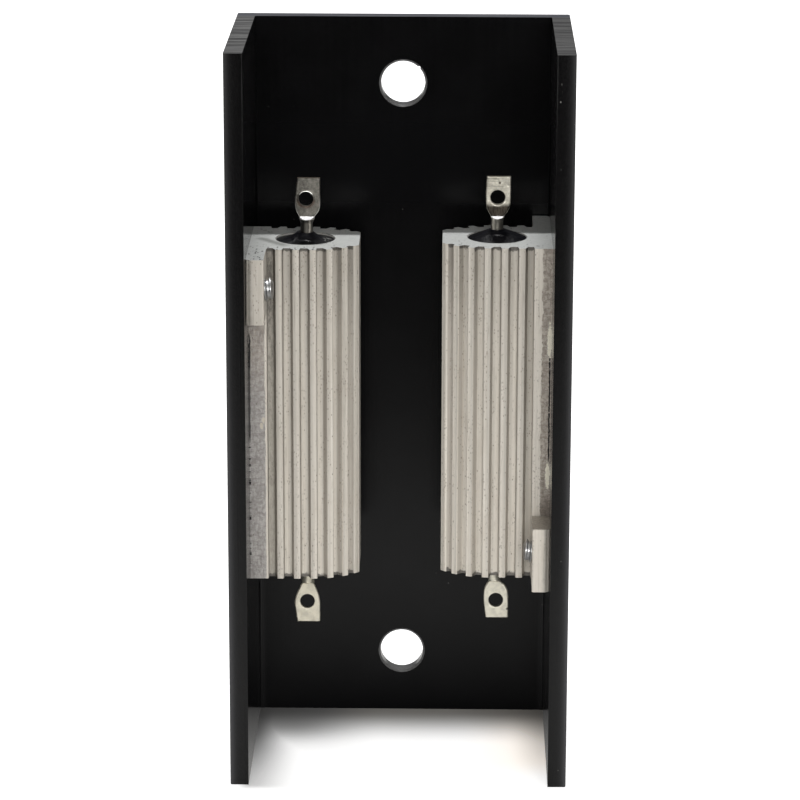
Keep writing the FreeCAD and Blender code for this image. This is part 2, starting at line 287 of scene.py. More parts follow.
class ChannelShader(Shader):
    """The channel's black anodising, in the row's frame.

    The flanges' inner faces lie 22.1 mm from the middle, the web's inner face at y 15.1, the flanges'
    front edges at y -17.8, and the sawn ends at z 0 and 109.2.
    """

    def __init__(self):
        super().__init__("anodised_black")
        self.x, self.y, self.z = self.parts(self.point)
        nx, ny, nz = self.parts(self.normal)
        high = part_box("channel")[1]
        self.outer = high.x / MM
        top = high.z / MM
        self.aside = self.absolute(self.x)
        ends = self.larger(self.ramp(self.z, top - 0.6, top - 0.4), self.fall(self.z, 0.4, 0.6))
        self.sawn = self.product(self.ramp(self.absolute(nz), 0.7, 0.95), ends)
        facing = self.ramp(self.product(ny, -1.0), 0.3, 0.6)
        self.front = self.product(facing, self.ramp(self.y, -17.2, -17.4))
        self.hole_wall = self.fall(self.absolute(ny), 0.9, 0.98)
        self.inner = self.product(self.ramp(self.absolute(nx), 0.8, 0.95), self.fall(self.aside, 22.3, 22.5))
        # A patch of the web above the resistors that is greyer and mirrors less
        self.patch = self.product(self.between(self.z, 77.0, 82.0, 92.0, 97.0),
                                  self.between(self.y, 14.0, 14.8, 15.5, 16.0),
                                  self.fall(self.aside, 22.1, 22.5))
        self.speckle = self.noise(self.point, (5.0, 5.0, 2.6), 4.0, 0.75)
        self.grit = self.noise(self.point, 6.0, 3.0, 0.7)
        self.saw_line = self.noise(self.point, (0.05, 0.62, 0.1), 3.0, 0.7, 0.3)

    def faces(self):
        """The faces, a little greyer in the web's corners, and on the flanges' inner sides as a painted
        reflection of the lit ground.
        """
        cloud = self.noise(self.point, 0.12, 4.0, 0.6)
        skin = self.mix(self.ramp(cloud, 0.3, 0.75), (0.0010, 0.0010, 0.0013), (0.0022, 0.0022, 0.0026))
        # Painted reflection of the lit ground: the right flange's inner face greyer, and the upper part of
        # the left one's
        skin = self.lay(skin, (0.0135, 0.0135, 0.0138), self.inner, self.ramp(self.x, -1.0, 1.0))
        left_upper_reflection = self.product(self.ramp(self.x, 1.0, -1.0), self.ramp(self.z, 85.0, 94.0))
        skin = self.lay(skin, (0.0105, 0.0105, 0.0108), self.inner, left_upper_reflection)
        skin = self.lay(skin, (0.0045, 0.0045, 0.005), self.patch, 0.6)
        corner = self.product(self.between(self.aside, 20.9, 21.6, 22.2, 22.4), self.ramp(self.y, 13.6, 14.2))
        return self.lay(skin, (0.0095, 0.0095, 0.01), corner, self.ramp(self.z, 75.0, 35.0), 0.8)

    def front_edges(self):
        """Grainy, greyer towards the floor as a painted reflection of the lit ground, palest at the outer
        corner, and with a painted highlight along the inner one.
        """
        grainy = self.ramp(self.speckle, 0.36, 0.7)
        edge = self.mix(grainy, (0.0002, 0.0002, 0.0004), (0.0036, 0.0035, 0.0035))
        # Painted reflection of the lit ground: greyer towards the floor
        edge = self.lay(edge, grey(0.0165), self.ramp(self.z, 95.0, 15.0, 0.0, 0.5))
        from_corner = self.divided(self.minus(self.outer, self.aside), channel_wall)
        pale = self.stops(from_corner, ((0.0, 1.0), (0.08, 0.74), (0.16, 0.48), (0.26, 0.25), (0.38, 0.11),
                                        (0.55, 0.04), (1.0, 0.0)))
        corner = self.mix(self.ramp(self.z, 100.0, 10.0), (0.038, 0.038, 0.039), (0.063, 0.063, 0.067))
        edge = self.lay(edge, corner, pale)
        # A painted highlight along the inner front corner, brighter high up
        ragged = self.product(self.noise(self.point, 0.7, 3.0, 0.7), 0.3)
        painted_edge_highlight = self.fall(self.plus(self.aside, ragged), 22.26, 22.4)
        return self.lay(edge, grey(0.055), painted_edge_highlight, self.ramp(self.z, 90.0, 104.0, 0.05, 0.28))

    def sawn_ends(self):
        """Grey, with marks across the wall."""
        cut = self.mix(self.ramp(self.saw_line, 0.4, 0.58), (0.035, 0.035, 0.036), grey(0.115))
        thin_line = self.noise(self.moved(self.point, (0.0, 40.0, 0.0)), (0.04, 1.1, 0.1), 2.0, 0.6, 0.2)
        cut = self.lay(cut, (0.22, 0.22, 0.215), self.ramp(thin_line, 0.56, 0.62))
        cut = self.lay(cut, grey(0.022), self.ramp(thin_line, 0.4, 0.34))
        cut = self.lay(cut, (0.19, 0.19, 0.2), self.ramp(self.grit, 0.62, 0.8))
        cut = self.lay(cut, grey(0.022), self.ramp(self.x, 21.0, 22.5), 0.42)
        return self.lay(cut, (0.062, 0.066, 0.085), self.ramp(self.y, 14.6, 15.4), 0.75)

    def web_holes(self, base):
        """Their walls: bare, drilled metal under a thin dark film."""
        centre, dims = mount_point("web_holes")
        across = self.minus(self.x, centre.x)
        for turn in (-0.5, 0.5):
            radius = self.length(across, self.minus(self.z, centre.z + turn * dims["spacing_y_mm"]))
            wall = self.fall(radius, dims["hole_r_mm"] + 0.27, dims["hole_r_mm"] + 0.33)
            bare = self.mix(self.ramp(self.grit, 0.3, 0.7), (0.06, 0.06, 0.062), grey(0.17))
            base = self.lay(base, bare, wall, self.hole_wall)
        return base

    def dust(self, base):
        """Few pale specks, more of them along the right flange's inner edge."""
        specks = self.spots(self.point, 0.55, (0.04, 0.07), (0.92, 0.94))
        base = self.lay(base, (0.2, 0.2, 0.19), specks, 0.25)
        near = self.product(self.between(self.x, 21.6, 21.9, 22.5, 22.9), self.ramp(self.y, -16.6, -17.4),
                            self.ramp(self.z, 88.0, 96.0))
        lint = self.spots(self.scaled(self.point, (2.4, 2.4, 1.6)), 1.0, (0.2, 0.34), (0.5, 0.55), 1)
        return self.lay(base, (0.4, 0.4, 0.38), near, lint, 0.6)

    def gloss(self):
        """Low, and lowest high up on the front edges, where a place is a share of 110 mm."""
        plain = self.mix(self.patch, grey(0.28), grey(0.1))
        # The left flange mirrors less beside the upper ear
        beside_ear = self.product(self.inner, self.ramp(self.x, 1.0, -1.0), self.ramp(self.y, -12.5, -13.5),
                                  self.between(self.z, 67.5, 68.5, 79.0, 79.5))
        plain = self.lay(plain, grey(0.05), beside_ear)
        edge = self.stops(self.divided(self.z, 110.0), ((0.1, 0.16), (0.5, 0.12), (0.85, 0.06)))
        return self.lay(plain, edge, self.front)


def anodised_channel():
    s = ChannelShader()
    base = s.lay(s.faces(), s.front_edges(), s.front)
    base = s.lay(base, s.sawn_ends(), s.sawn)
    base = s.dust(s.web_holes(base))
    drawn = s.noise(s.point, (5.0, 5.0, 0.03), 3.0, 0.7)
    fine = s.noise(s.point, (22.0, 22.0, 0.05), 2.0, 0.6)
    rough = s.ramp(drawn, 0.25, 0.8, 0.17, 0.22)
    for place, change in ((s.inner, -0.06), (s.front, 0.1), (s.sawn, 0.3)):
        rough = s.plus(rough, s.product(place, change))
    s.set(Base_Color=base, Roughness=rough, Specular_IOR_Level=s.gloss())
    marks = s.product(s.saw_line, s.sawn)
    grains = s.product(s.speckle, s.front)
    s.bump((fine, 0.2, 0.02), (drawn, 0.15, 0.04), (marks, 0.8, 0.12), (grains, 0.7, 0.12))
    return s


class HousingShader(Shader):
    """A housing's alloy, in the resistor's own frame.

    Out runs from the flange, across runs over the base from its middle, and up from the lower end. The
    base is 2.6 mm thick, its ears reach 14.5 mm across, and the bore's axis lies 8 mm out.
    """

    def __init__(self, side):
        super().__init__("housing_alloy_" + side)
        self.left = side == "left"
        own = own_frame(self, side)
        self.seed = self.moved(own, (0.0, 0.0, 0.0) if self.left else (31.0, 17.0, 43.0))
        self.out, self.across, self.up = self.parts(own)
        ny, nz = self.parts(self.normal)[1:]
        self.sawn = self.ramp(self.absolute(nz), 0.75, 0.95)
        self.side_face = self.ramp(self.absolute(ny), 0.8, 0.95)
        self.width = self.absolute(self.across)
        self.edge_up = self.absolute(self.minus(self.up, half_length))
        self.from_axis = self.length(self.minus(self.out, bore_height), self.across)
        # How far in from the flank: flat up to flank_straight, then round it
        self.past = self.larger(self.minus(self.out, flank_straight), 0.0)
        self.beside = self.minus(self.width, half_body - flank_radius)
        inset = self.minus(flank_radius, self.length(self.past, self.beside))
        self.ribbed = self.ramp(self.out, base_thickness + 0.02, base_thickness + 0.1)
        self.floor = self.product(self.ramp(inset, 0.8, 1.0), self.ribbed)
        self.wall = self.product(self.between(inset, 0.1, 0.3, 0.8, 1.0), self.ribbed)
        self.body_side = self.fall(self.width, half_body + 0.3, half_body + 0.6)
        self.drawn = self.noise(self.seed, (4.0, 4.0, 0.05), 4.0, 0.65)
        self.hairs = self.noise(self.seed, (13.0, 13.0, 0.11), 3.0, 0.6)
        self.mottle = self.noise(self.seed, (2.6, 2.6, 0.9), 5.0, 0.7)
        self.grain = self.noise(self.seed, 11.0, 2.0, 0.6)
        self.kerf = self.noise(self.seed, (0.7, 8.0, 1.0), 3.0, 0.7, 0.4)
        self.wave = self.noise(self.seed, (0.2, 0.2, 0.5), 3.0, 0.6)
        self.crumble = self.noise(self.seed, (1.1, 1.1, 2.2), 6.0, 0.78, 0.6)
        self.chips = self.cells(self.scaled(self.seed, (1.6, 1.6, 0.9)), 1.7)[0]

    def surface(self):
        """The drawn surface: streaks, blotches, painted shade in the grooves, thin scratches, and rows of
        grains beside the ribs.
        """
        skin = self.mix(self.ramp(self.drawn, 0.25, 0.8), (0.545, 0.505, 0.442), (0.675, 0.637, 0.572))
        blotch = self.noise(self.seed, (0.5, 0.5, 0.16), 4.0, 0.6)
        skin = self.lay(skin, (0.44, 0.385, 0.32), self.ramp(blotch, 0.5, 0.8, 0.0, 0.4))
        skin = self.lay(skin, (0.34, 0.29, 0.235), self.ramp(self.mottle, 0.56, 0.78, 0.0, 0.45))
        # Painted shade: the grooves' floors a little darker, their walls more
        skin = self.lay(skin, (0.40, 0.37, 0.32), self.floor, 0.22)
        skin = self.lay(skin, (0.23, 0.205, 0.175), self.wall, 0.5)
        skin = self.lay(skin, (0.2, 0.175, 0.15), self.ramp(self.hairs, 0.62, 0.7), 0.55)
        grains = self.spots(self.scaled(self.seed, (3.6, 3.6, 2.2)), 1.0, (0.2, 0.45), (0.4, 0.45))
        rows = self.ramp(self.noise(self.seed, (1.1, 1.1, 0.13), 3.0, 0.6), 0.47, 0.58)
        skin = self.lay(skin, (0.15, 0.125, 0.1), grains, rows, 0.5)
        streaky = self.noise(self.seed, (1.6, 1.6, 0.22), 4.0, 0.7)
        return self.lay(skin, (0.3, 0.255, 0.215), self.ramp(streaky, 0.56, 0.72, 0.0, 0.35))

    def ribs(self, skin):
        """Painted shade across the ribs and in the first groove, grooves darker towards the upper end, and
        painted shadow at their burred ends.
        """
        turn = self.math("ARCTAN2", self.past, self.beside)
        along = self.plus(self.math("MINIMUM", self.out, flank_straight), self.product(turn, flank_radius))
        # One rib pitch runs from a groove's start over its floor and slanted wall to the next crest
        pitches = self.divided(self.minus(along, first_rib + rib_width / 2), rib_pitch)
        phase = self.math("FRACT", self.plus(pitches, 3.0))
        # Painted shade across each pitch, deeper in the left unit's grooves beside the flange
        groove_shade = (0.64, 0.8, 0.9) if self.left else (0.85, 0.95, 0.95)
        rib_shade = self.stops(phase, ((0.0, 0.72), (0.05, 0.88), (0.13, 1.0), (0.24, 0.95), (0.34, 0.86),
                                  (0.45, groove_shade[0]), (0.54, groove_shade[1]), (0.61, groove_shade[2]), (0.64, 0.7),
                                  (0.74, 0.74), (0.84, 0.86), (0.93, 0.88), (1.0, 0.7)))
        skin = self.darken(skin, rib_shade, self.ribbed)
        # Painted shade in the first groove beside the ear, deeper and mottled on the left
        first = self.product(self.ribbed, self.fall(along, 3.9, 4.05), self.fall(self.width, 7.9, 8.1))
        skin = self.lay(skin, (0.2, 0.185, 0.155), first, 0.5 if self.left else 0.3)
        if self.left:
            skin = self.lay(skin, (0.085, 0.075, 0.065), first, self.ramp(self.mottle, 0.4, 0.62),
                            self.ramp(self.up, 24.0, 44.0, 0.25, 0.75))
        # The grooves' walls and floors darker towards the upper end
        share = self.product(self.floor, 0.55 if self.left else 0.35)
        skin = self.lay(skin, (0.09, 0.08, 0.065), self.ramp(self.up, 34.0, 50.0),
                        self.larger(self.wall, share), 0.45)
        # Painted shade: the ribs are palest low down and far from the flange
        light = self.product(self.ramp(self.up, 48.0, 4.0, 0.9, 1.1, False),
                             self.ramp(self.out, 9.0, 15.5, 1.0, 1.12))
        skin = self.darken(skin, light, self.ribbed)
        # Painted shadow under the burred edge at each groove's ends
        ragged = self.product(self.noise(self.seed, 1.5, 4.0, 0.7), 1.3)
        burr_shadow = self.ramp(self.plus(self.edge_up, ragged), half_length + 0.05, half_length + 0.3)
        return self.lay(skin, (0.05, 0.045, 0.04), burr_shadow, self.larger(self.floor, self.wall), 0.85)

    def sawn_ends(self):
        """Cooler, with fine marks, black specks, dirt on the ears, and on the left one a smear."""
        cut = self.mix(self.ramp(self.kerf, 0.3, 0.7), (0.47, 0.482, 0.47), (0.61, 0.622, 0.605))
        pits = self.spots(self.scaled(self.seed, (2.3, 0.85, 1.0)), 1.0, (0.24, 0.42), (0.38, 0.43))
        zone = self.noise(self.seed, 0.28, 2.0, 0.5)
        thick = self.ramp(self.across, -4.0, -7.0, 0.0, 0.9) if self.left else 0.12
        pits = self.product(pits, self.larger(self.ramp(zone, 0.5, 0.7, 0.0, 0.5), thick))
        on_ear = self.ramp(self.across, *((-6.5, -8.5) if self.left else (-12.0, -14.0)))
        smut = self.ramp(self.noise(self.seed, 3.4, 4.0, 0.75), 0.55, 0.66)
        dirt = self.larger(pits, self.product(smut, on_ear, 0.8))
        cut = self.lay(cut, (0.03, 0.03, 0.028), dirt, 0.9)
        if self.left:
            # The smear runs from the flange past the bore, at 39 degrees to the flange
            aside = self.plus(self.product(self.out, 0.778), self.product(self.across, 0.629))
            aside = self.absolute(self.minus(aside, 1.0))
            aside = self.plus(aside, self.product(self.noise(self.seed, 1.3, 3.0, 0.6), 0.7))
            run = self.minus(self.product(self.out, 0.629), self.product(self.across, 0.778))
            smear = self.product(self.fall(aside, 0.5, 1.5), self.between(run, 0.2, 1.4, 6.2, 8.2))
            cut = self.lay(cut, (0.12, 0.125, 0.11), smear, 0.62)
        return cut

    def broken(self):
        """The punched base sides' torn metal."""
        if self.left:
            torn = self.mix(self.ramp(self.crumble, 0.36, 0.64), (0.33, 0.31, 0.295), (0.5, 0.48, 0.46))
            torn = self.lay(torn, (0.2, 0.18, 0.165), self.ramp(self.chips, 0.45, 0.8, 0.0, 0.35))
            brown = self.mix(self.ramp(self.mottle, 0.4, 0.65), (0.46, 0.4, 0.33), (0.24, 0.2, 0.17))
            return self.lay(torn, brown, self.ramp(self.up, 26.0, 36.0, 0.0, 0.45))
        torn = self.mix(self.ramp(self.crumble, 0.36, 0.62), (0.31, 0.275, 0.235), (0.53, 0.48, 0.42))
        torn = self.lay(torn, (0.19, 0.155, 0.13), self.ramp(self.chips, 0.45, 0.75, 0.0, 0.45))
        return self.lay(torn, (0.17, 0.14, 0.115), self.ramp(self.up, 14.0, 11.0, 0.0, 0.5))

    def contact_line(self, base):
        """Where the base meets the flange: a broken black line of painted shade in the gap, and cream chips.
        """
        height = self.noise(self.seed, (0.0, 0.0, 0.9), 3.0, 0.7)
        if self.left:
            # Widest below the ear, then a thin line, then dots
            wide = self.between(self.up, 31.5, 32.5, 36.5, 37.3)
            line = self.product(self.between(self.up, 20.5, 22.0, 37.0, 38.0), 0.85)
            dots = self.product(self.ramp(height, 0.52, 0.56), self.between(self.up, 1.0, 3.0, 20.0, 22.0))
            black = self.larger(self.larger(line, dots), wide)
            line_out = self.plus(0.06, self.product(wide, 0.06))
            cream = (0.6, 0.55, 0.46)
            places = ((24.4, 0.55, 2.05, 0.3), (23.5, 0.5, 1.8, 0.28))
        else:
            black = self.product(self.between(self.up, 17.0, 19.0, 33.6, 34.2), self.ramp(height, 0.36, 0.42))
            line_out = 0.24
            cream = (0.9, 0.86, 0.72)
            places = ((36.2, 3.0, 0.3, 0.36), (15.9, 2.1, 0.38, 0.36))
        here = self.product(self.side_face, self.body_side)
        waver = self.product(self.minus(self.noise(self.seed, 1.2, 3.0, 0.7), 0.5), 0.3)
        from_line = self.absolute(self.minus(self.plus(self.out, waver), line_out))
        # The black line is painted shade in the gap at the flange
        base = self.lay(base, (0.006, 0.006, 0.007), here, self.fall(from_line, 0.07, 0.15), black)
        ragged = self.product(self.minus(self.crumble, 0.5), 2.2)
        for middle_up, half_up, middle_out, half_out in places:
            apart = self.length(self.divided(self.minus(self.up, middle_up), half_up),
                                self.divided(self.minus(self.out, middle_out), half_out))
            base = self.lay(base, cream, here, self.fall(self.plus(apart, ragged), 0.8, 1.0), 0.9)
        return base

    def bore(self, base):
        """The bore's wall, and black compound smeared over one half of its rim."""
        ragged = self.product(self.noise(self.seed, 2.2, 3.0, 0.6), 0.22)
        rim = self.fall(self.plus(self.from_axis, ragged), 4.42, 4.5)
        one_half = self.ramp(self.across, 0.6, -0.2)
        at_end = self.ramp(self.edge_up, half_length - 0.3, half_length - 0.2)
        base = self.lay(base, (0.008, 0.008, 0.012), rim, one_half, at_end)
        wall = self.fall(self.from_axis, bore_radius + 0.03, bore_radius + 0.07)
        return self.lay(base, (0.4, 0.4, 0.38), wall)

    def dirt(self, base):
        """Specks all over, and painted shade on the ears' sides: darkest at the flange, and darker all over
        on the left ear.
        """
        specks = self.spots(self.scaled(self.seed, (1.5, 1.5, 0.85)), 1.15, (0.08, 0.18), (0.72, 0.76))
        base = self.lay(base, (0.11, 0.09, 0.07), specks, 0.7)
        ear_side = self.product(self.side_face, self.ramp(self.width, 14.0, 14.2))
        # Painted shade on the ear's side, darkest at the flange
        stain = self.ramp(self.plus(self.out, self.product(self.wave, 0.5)), 0.35, 1.5, 0.85, 0.0)
        base = self.lay(base, (0.05, 0.045, 0.04), ear_side, stain)
        # Painted shade: the left ear's side darker all over
        return self.lay(base, (0.12, 0.11, 0.095), ear_side, 0.32) if self.left else base


def housing_alloy(side):
    s = HousingShader(side)
    base = s.lay(s.ribs(s.surface()), s.sawn_ends(), s.sawn)
    # Base sides between the ears: punched, rough but for a burnished band at the outer edge
    middle, swing = (2.05, 0.5) if s.left else (0.95, 0.9)
    tear_edge = s.plus(middle, s.product(s.wave, swing))
    torn = s.product(s.side_face, s.fall(s.minus(s.out, tear_edge), -0.05, 0.08), s.body_side)
    base = s.lay(base, s.broken(), torn)
    # The cut faces of the ears, which look along the body, are punched too
    ear_cut = s.product(s.sawn, s.ramp(s.width, half_body + 0.05, half_body + 0.15),
                        s.fall(s.edge_up, half_length - 1.5, half_length - 1.0))
    punched = s.mix(s.ramp(s.mottle, 0.35, 0.7), (0.6, 0.55, 0.48), (0.42, 0.375, 0.32))
    base = s.lay(base, punched, ear_cut)
    base = s.dirt(s.bore(s.contact_line(base)))
    rough = s.ramp(s.grain, 0.2, 0.8, 0.42, 0.6)
    s.set(Base_Color=base, Roughness=rough, Metallic=0.15, Specular_IOR_Level=0.45)
    marks = s.product(s.kerf, s.sawn)
    ragged = s.product(s.minus(s.crumble, s.product(s.chips, 0.5)), torn)
    s.bump((s.grain, 0.25, 0.02), (s.drawn, 0.3, 0.06), (s.hairs, 0.25, 0.03), (marks, 0.5, 0.08),
           (ragged, 0.8, 0.35))
    return s


def moulding_compound(side):
    s = Shader("moulding_compound_" + side)
    left = side == "left"
    own = own_frame(s, side)
    lumps = s.noise(own, 0.7, 3.0, 0.5, 0.6)
    pits = s.noise(own, 5.0, 3.0, 0.6)
    base = s.mix(s.ramp(pits, 0.3, 0.8), (0.003, 0.003, 0.0045), (0.008, 0.008, 0.011))
    if left:
        # Pale scuffs to the right of the pin
        out, across = s.parts(own)[:2]
        away = s.absolute(s.minus(out, bore_height + 3.1))
        scuff = s.product(s.fall(away, 0.3, 0.9), s.fall(s.absolute(across), 0.6, 1.8))
        ragged = s.ramp(s.noise(own, (2.4, 0.9, 1.0), 3.0, 0.7), 0.5, 0.6)
        base = s.lay(base, (0.3, 0.3, 0.28), scuff, ragged)
    rough = s.ramp(pits, 0.2, 0.8, 0.3, 0.46)
    s.set(Base_Color=base, Roughness=rough, Specular_IOR_Level=0.15 if left else 0.1)
    s.bump((lumps, 0.7 if left else 0.35, 0.4), (pits, 0.5, 0.07))
    return s


class TerminalShader(Shader):
    """A terminal's hot-tinned metal. The left upper one is dull with oxide, the others are bright."""

    def __init__(self, node):
        super().__init__("tinned_" + node)
        self.node = node
        tint, offset = terminal_looks[node]
        self.dull = node == "left_top_terminal"
        self.upper = node.endswith("top_terminal")
        self.seed = self.moved(self.point, offset)
        self.bright = tuple(v * (0.4 if self.dull else 1.0) for v in tint)
        self.dark = tuple(v * 0.77 * (0.28 if self.dull else 1.0) for v in tint)
        centre, dims = mount_point(node.replace("_terminal", "_wire_hole"))
        self.hole = dims["r_mm"]
        self.x, self.y, self.z = self.parts(self.point)
        self.nx, self.ny, self.nz = self.parts(self.normal)
        self.dx = self.minus(self.x, centre.x)
        self.dz = self.minus(self.z, centre.z)
        self.radius = self.length(self.dx, self.dz)
        self.facing = self.ramp(self.ny, -0.5, -0.8)
        self.cut_end = self.product(self.ramp(self.nz, 0.7, 0.9),
                                    self.ramp(self.z, centre.z + 2.5, centre.z + 2.7))
        self.ripple = self.noise(self.seed, 1.1, 3.0, 0.55, 0.4)
        self.stain = self.noise(self.moved(self.seed, (7.0, 3.0, 1.0)), 0.8, 5.0, 0.65)

    def tin(self):
        """The tinned surface, more mottled on the upper terminals."""
        base = self.mix(self.ramp(self.stain, 0.4, 0.7), self.bright, self.dark)
        if self.upper:
            mottle = self.noise(self.moved(self.seed, (2.0, 5.0, 3.0)), 2.6, 4.0, 0.75)
            base = self.lay(base, tuple(v * 0.45 for v in self.dark),
                            self.ramp(mottle, 0.42, 0.68, 0.0, 0.5 if self.dull else 0.3))
            base = self.lay(base, tuple(min(1.0, v * 1.45) for v in self.bright),
                            self.ramp(mottle, 0.44, 0.34, 0.0, 0.5))
        return base

    def pit(self, base, rgb, right, up, size, depth):
        """A small pit, placed by its millimetres right of the hole's centre and up from it."""
        apart = self.length(self.minus(self.dx, right), self.minus(self.dz, up))
        return self.lay(base, rgb, self.ramp(apart, 0.1, size, depth, 0.0))

    def scratches(self, base):
        """Fine scratches across the blade's end."""
        lines = self.noise(self.seed, (0.45, 1.0, 8.0), 3.0, 0.7)
        return self.lay(base, (0.22, 0.2, 0.15), self.ramp(lines, 0.5, 0.62),
                        self.ramp(self.dz, 0.4, 2.6, 0.1, 0.7))

    def hole_rim(self, base):
        """Oxide inside the hole, and on the dull terminal a brown mark below it, a painted highlight on the
        rim above it, and painted highlights on the rounded side edges, strongest low down.
        """
        inside = self.fall(self.radius, self.hole + 0.01, self.hole + 0.05)
        base = self.lay(base, (0.1, 0.09, 0.07), inside, 0.6)
        if self.dull:
            brown = self.product(self.fall(self.radius, self.hole + 0.2, self.hole + 0.45),
                                 self.ramp(self.dz, 0.1, -0.5), self.facing)
            base = self.lay(base, (0.17, 0.11, 0.085), brown, 0.6)
            # Painted highlight on the raised rim above the hole
            rim_highlight = self.product(self.fall(self.radius, self.hole + 0.08, self.hole + 0.16),
                                 self.ramp(self.dz, 0.55, 0.8), self.facing)
            base = self.lay(base, (1.0, 0.99, 0.95), rim_highlight)
            # Painted highlights on the rounded side edges, strongest low down
            painted_edge_highlight = self.product(self.ramp(self.absolute(self.nx), 0.3, 0.5), self.ramp(self.ny, -0.2, -0.4),
                                self.ramp(self.dz, 1.0, -1.2))
            base = self.lay(base, (0.95, 0.93, 0.88), painted_edge_highlight)
        return base

    def pin(self, base, end_face):
        """Painted reflection down the pin below the blade: dark and lit bands across its width."""
        cap_low, cap_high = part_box(self.node.replace("terminal", "cap"))
        axis = (cap_low.x + cap_high.x) / 2 / MM
        if self.node.startswith("left"):
            # Painted reflection: the bands' levels across the pin, from its left side to its right
            reflection_bands = ((0.0, 0.05), (0.3, 0.04), (0.38, 0.16), (0.58, 0.18), (0.66, 0.14), (0.7, 0.9),
                       (0.78, 0.85), (0.83, 0.2), (1.0, 0.12))
        else:
            reflection_bands = ((0.0, 0.08), (0.13, 0.15), (0.17, 0.95), (0.29, 0.9), (0.36, 0.3), (0.55, 0.24),
                       (0.75, 0.15), (1.0, 0.08))
        place = self.plus(self.divided(self.minus(self.x, axis), 2.0), 0.5)
        place = self.plus(place, self.product(self.minus(self.ripple, 0.5), 0.12))
        pin_reflection = self.mix(1.0, (0.95, 0.9, 0.8), self.stops(place, reflection_bands), "MULTIPLY")
        return self.lay(base, pin_reflection, self.ramp(self.z, end_face + 3.0, end_face + 2.9))


def tinned_terminal(node):
    s = TerminalShader(node)
    base = s.tin()
    metal = 0.85
    if node == "right_top_terminal":
        base = s.pit(s.scratches(base), (0.07, 0.055, 0.03), 0.28, 2.17, 0.24, 0.9)
        # The blade's lower part is browned
        low_part = s.product(s.ramp(s.plus(s.dz, s.product(s.stain, 0.7)), -0.4, -1.2), s.facing)
        streak = s.noise(s.seed, (5.0, 1.0, 1.0), 3.0, 0.7)
        browned = s.mix(s.ramp(streak, 0.4, 0.62), (0.028, 0.023, 0.019), (0.1, 0.083, 0.066))
        base = s.lay(base, browned, low_part, 0.97)
        metal = s.plus(metal, s.product(low_part, 0.15))
    if node == "right_bottom_terminal":
        base = s.pit(base, (0.06, 0.05, 0.04), 1.72, -1.4, 0.26, 0.85)
    base = s.hole_rim(base)
    # The cut end is browned
    base = s.lay(base, (0.12, 0.09, 0.06), s.cut_end, 0.85)
    grain = s.noise(s.seed, 9.0, 3.0, 0.6)
    ring = s.fall(s.radius, s.hole + 0.02, s.hole + 0.28)
    layers = [(s.ripple, 0.3 if s.upper else 0.5, 0.18), (grain, 0.4, 0.035),
              (s.product(ring, 0.2 if s.dull else -0.03), 1.0, 0.6)]
    if s.upper:
        end_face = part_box(node.split("_")[0] + "_housing")[1].z / MM
        base = s.pin(base, end_face)
        # The shelf where the blade starts is painted white as a highlight, and its bump tilts it more steeply
        # than it is cut
        shelf_highlight = s.product(s.ramp(s.nz, 0.75, 0.85), s.ramp(s.z, end_face + 3.6, end_face + 3.4))
        base = s.lay(base, grey(1.0), shelf_highlight)
        layers.append((s.product(shelf_highlight, s.y, 0.35), 1.0, 1.0))
    s.set(Base_Color=base, Roughness=s.ramp(grain, 0.2, 0.8, 0.27, 0.45), Metallic=metal)
    s.bump(*layers)
    return s


def screw_steel():
    s = Shader("screw_steel")
    grain = s.noise(s.point, 7.0, 3.0, 0.6)
    base = s.mix(s.ramp(grain, 0.3, 0.75), (0.56, 0.57, 0.58), grey(0.36))
    s.set(Base_Color=base, Roughness=s.ramp(grain, 0.2, 0.8, 0.3, 0.48), Metallic=1.0)
    s.bump((grain, 0.3, 0.02))
    return s


def hidden_metal(name, rgb, other):
    s = Shader(name)
    grain = s.noise(s.point, (6.0, 6.0, 1.0), 3.0, 0.6)
    s.set(Base_Color=s.mix(s.ramp(grain, 0.3, 0.7), rgb, other),
          Roughness=s.ramp(grain, 0.2, 0.8, 0.3, 0.5), Metallic=1.0)
    s.bump((grain, 0.3, 0.03))
    return s


def ceramic():
    s = Shader("core_ceramic")
    grain = s.noise(s.point, 3.0, 4.0, 0.6)
    s.set(Base_Color=s.mix(s.ramp(grain, 0.3, 0.7), (0.8, 0.77, 0.7), (0.68, 0.65, 0.58)),
          Roughness=s.ramp(grain, 0.2, 0.8, 0.6, 0.8))
    s.bump((grain, 0.4, 0.04))
    return s


